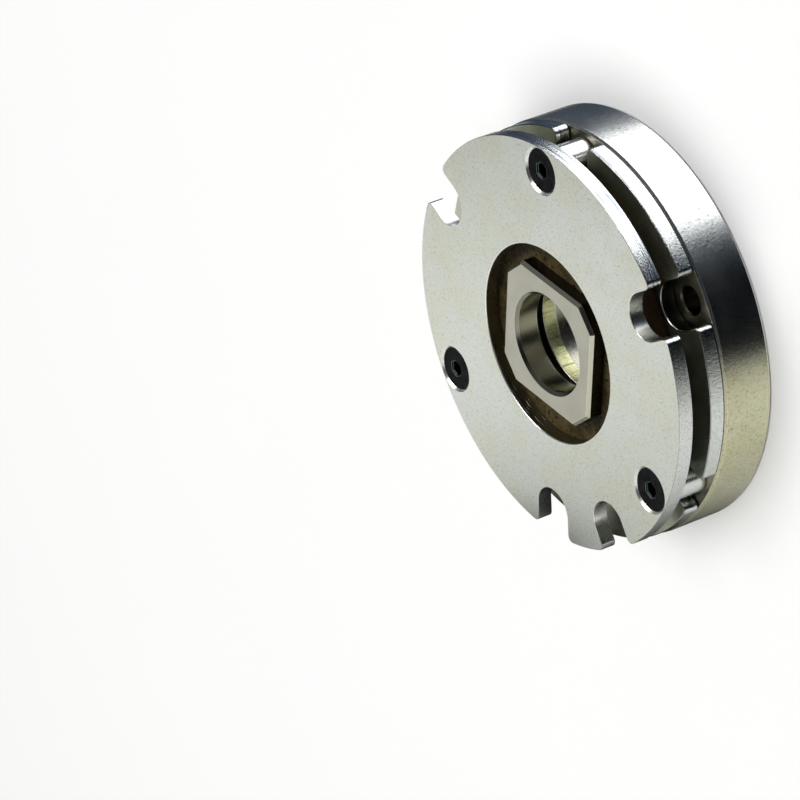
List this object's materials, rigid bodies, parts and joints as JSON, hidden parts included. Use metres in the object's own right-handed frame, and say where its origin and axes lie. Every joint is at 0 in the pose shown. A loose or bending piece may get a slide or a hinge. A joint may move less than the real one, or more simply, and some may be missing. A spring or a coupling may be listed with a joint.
{
  "type": "spring applied brake",
  "caption": "Thin disc brake: springs press an armature plate on a friction rotor with a square shaft hub, and a ring coil in the steel stator pulls it free.",
  "frame": {"origin": "centre of the stator's rear mounting face, on the shaft axis", "axes": "+Z along the shaft towards the side plate, +Y towards one of the plate screws, +X to the right when the side plate is seen from the front"},
  "size_m": [0.08, 0.08, 0.0205],
  "materials": {
    "stator_steel": "satin zinc plated, turned rim",
    "bobbin_plastic": "moulded nylon",
    "copper_wire": "enamelled copper winding",
    "potting_resin": "cast epoxy",
    "grommet_rubber": "matte moulded rubber",
    "spring_wire": "drawn spring wire",
    "armature_steel": "zinc plated, sheared rim",
    "friction_lining": "moulded friction material with flecks",
    "hub_steel": "machined steel",
    "spacer_steel": "turned and plated",
    "plate_steel": "zinc plated with fine dark specks",
    "black_screw": "black oxide"
  },
  "bodies": {
    "housing": {"stator_yoke": "stator_steel", "coil_bobbin": "bobbin_plastic", "coil_winding": "copper_wire", "coil_potting": "potting_resin", "lead_grommet": "grommet_rubber", "torque_spring_1": "spring_wire", "torque_spring_2": "spring_wire", "torque_spring_3": "spring_wire", "torque_spring_4": "spring_wire", "torque_spring_5": "spring_wire", "torque_spring_6": "spring_wire", "spacer_collar_1": "spacer_steel", "spacer_collar_2": "spacer_steel", "spacer_collar_3": "spacer_steel", "side_plate": "plate_steel", "plate_screws": "black_screw"},
    "armature": {"armature_plate": "armature_steel"},
    "hub": {"rotor_hub": "hub_steel"},
    "rotor": {"friction_rotor": "friction_lining"}
  },
  "joints": [
    {"name": "armature_release", "type": "slide", "parent": "housing", "child": "armature", "axis": [0, 0, -1], "range_m": [0, 0.0002], "stiffness_N_per_m": 500, "springref_m": -0.01, "deforming": ["torque_spring_1", "torque_spring_2", "torque_spring_3", "torque_spring_4", "torque_spring_5", "torque_spring_6"]},
    {"name": "hub_spin", "type": "hinge", "parent": "housing", "child": "hub", "pos_m": [0, 0, 0.01785], "axis": [0, 0, 1], "continuous": true},
    {"name": "rotor_float", "type": "slide", "parent": "hub", "child": "rotor", "axis": [0, 0, -1], "range_m": [0, 0.0001]}
  ],
  "couplings": [
    {"joint": "rotor_float", "follows": "armature_release", "ratio": 0.5}
  ]
}
